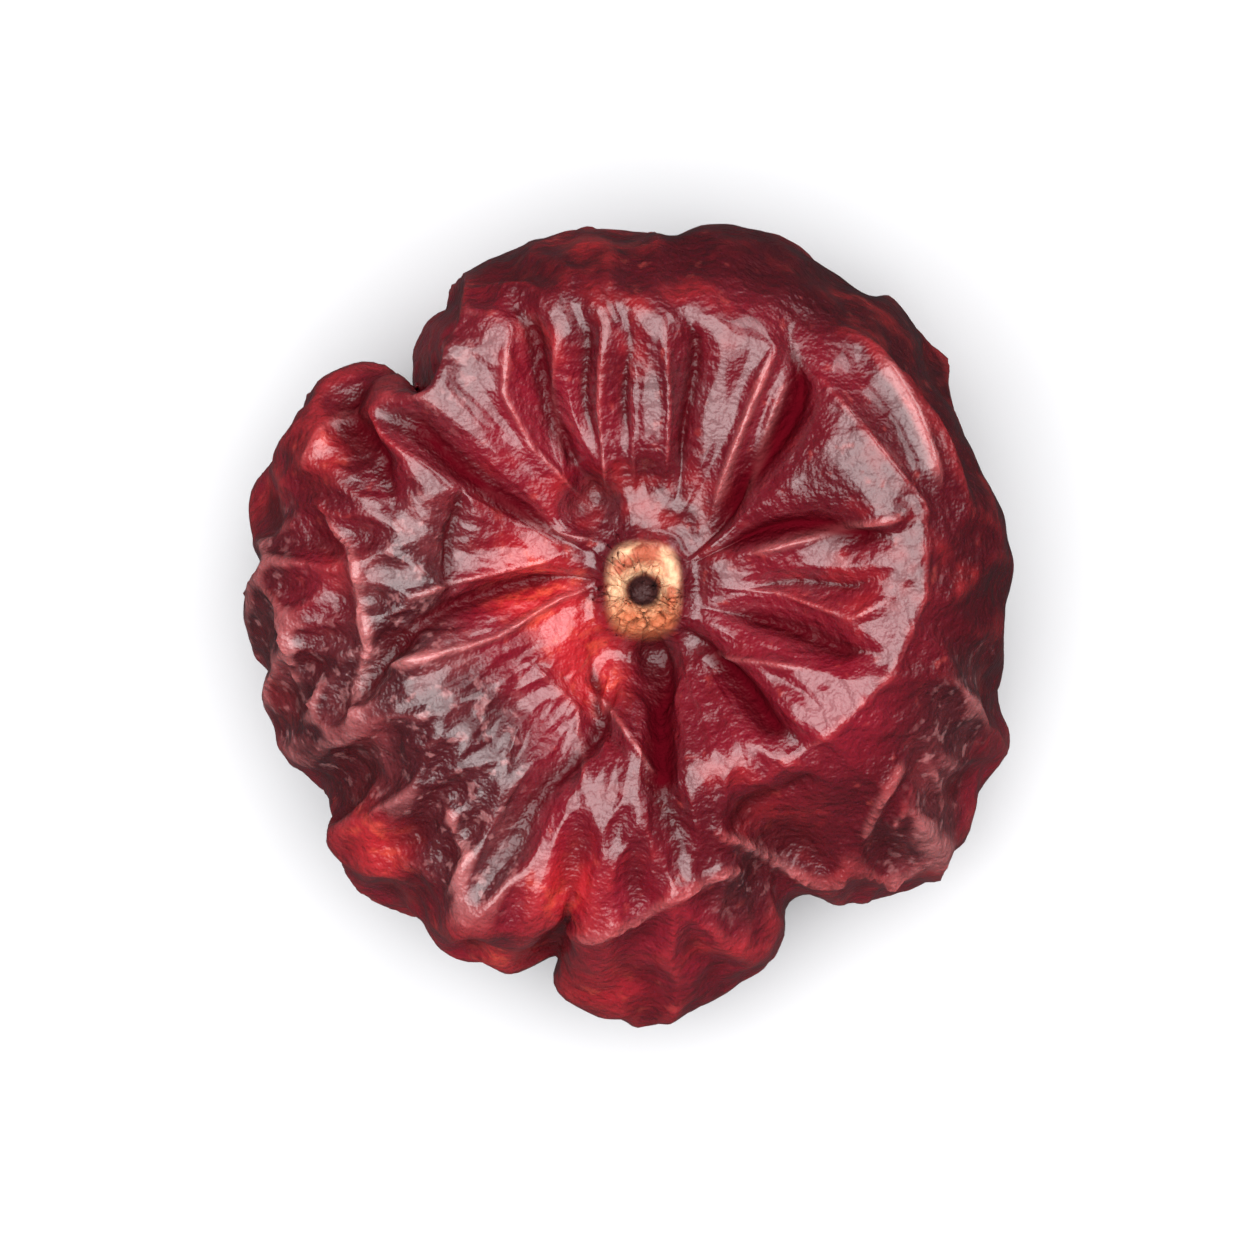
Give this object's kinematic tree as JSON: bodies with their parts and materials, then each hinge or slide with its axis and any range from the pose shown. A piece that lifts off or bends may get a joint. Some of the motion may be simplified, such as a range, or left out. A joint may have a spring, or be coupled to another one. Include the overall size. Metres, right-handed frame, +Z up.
{
  "type": "dried cranberry",
  "caption": "Whole dried cranberry: flattened lobed fruit, puckered top with creases running to a dry blossom scar, folded sides, rests on a small flat foot.",
  "frame": {"origin": "middle of the fruit's bounding box at the surface it rests on", "axes": "+Z up through the blossom scar, +Y along the longer side, towards the back as the picture shows it from above"},
  "size_m": [0.0144, 0.015, 0.0091],
  "materials": {
    "dried_skin": "glossy, wrinkled, slightly translucent dark red skin"
  },
  "bodies": {
    "root": {"dried_cranberry": "dried_skin"}
  },
  "joints": []
}
